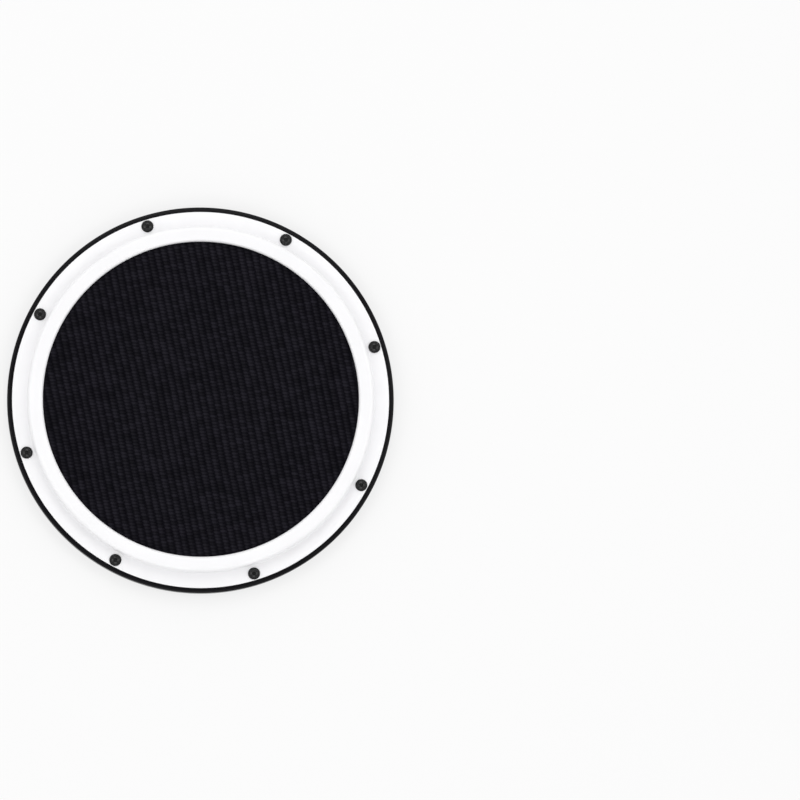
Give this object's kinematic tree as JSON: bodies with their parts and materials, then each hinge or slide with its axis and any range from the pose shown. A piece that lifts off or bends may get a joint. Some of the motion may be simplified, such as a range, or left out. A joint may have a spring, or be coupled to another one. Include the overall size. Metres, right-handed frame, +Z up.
{
  "type": "practice pad",
  "caption": "Round drummer's practice pad: woven playing skin on rubber and foam, clamped by a white steel hoop to a black board on foam feet, with a snare chamber under a steel plate.",
  "frame": {"origin": "centre of the underside of the two foam feet, on the surface the pad rests on", "axes": "+Z up through the playing face; +Y along the gap between the two foam feet; +X across it"},
  "size_m": [0.403, 0.403, 0.037],
  "materials": {
    "foot_foam": "fine-grained closed-cell foam, matt",
    "black_board": "satin black paint on fibreboard",
    "layer_foam": "matt foam",
    "playing_rubber": "matt rubber",
    "woven_skin": "black woven texture, satin",
    "white_powder_coat": "white powder coat, smooth satin",
    "black_screw": "black oxide, satin",
    "zinc_insert": "bright zinc plate",
    "gasket_rubber": "matt rubber",
    "galvanised_steel": "galvanised, large pale spangle",
    "chrome_screw": "polished nickel",
    "blank_label": "white satin film, bare",
    "shot_steel": "bright steel"
  },
  "bodies": {
    "pad": {"foot_pad_left": "foot_foam", "foot_pad_right": "foot_foam", "base_board": "black_board", "isolation_foam": "layer_foam", "rubber_layer": "playing_rubber", "playing_skin": "woven_skin", "hoop": "white_powder_coat", "hoop_screw_1": "black_screw", "hoop_screw_2": "black_screw", "hoop_screw_3": "black_screw", "hoop_screw_4": "black_screw", "hoop_screw_5": "black_screw", "hoop_screw_6": "black_screw", "hoop_screw_7": "black_screw", "hoop_screw_8": "black_screw", "hoop_insert_1": "zinc_insert", "hoop_insert_2": "zinc_insert", "hoop_insert_3": "zinc_insert", "hoop_insert_4": "zinc_insert", "hoop_insert_5": "zinc_insert", "hoop_insert_6": "zinc_insert", "hoop_insert_7": "zinc_insert", "hoop_insert_8": "zinc_insert", "chamber_gasket": "gasket_rubber", "cover_plate": "galvanised_steel", "cover_screw_1": "chrome_screw", "cover_screw_2": "chrome_screw", "cover_screw_3": "chrome_screw", "cover_screw_4": "chrome_screw", "plate_label": "blank_label"},
    "shot": {"snare_shot": "shot_steel"}
  },
  "joints": [
    {"name": "shot_hop", "type": "slide", "parent": "pad", "child": "shot", "axis": [0, 0, 1], "range_m": [0, 0.0049]}
  ]
}
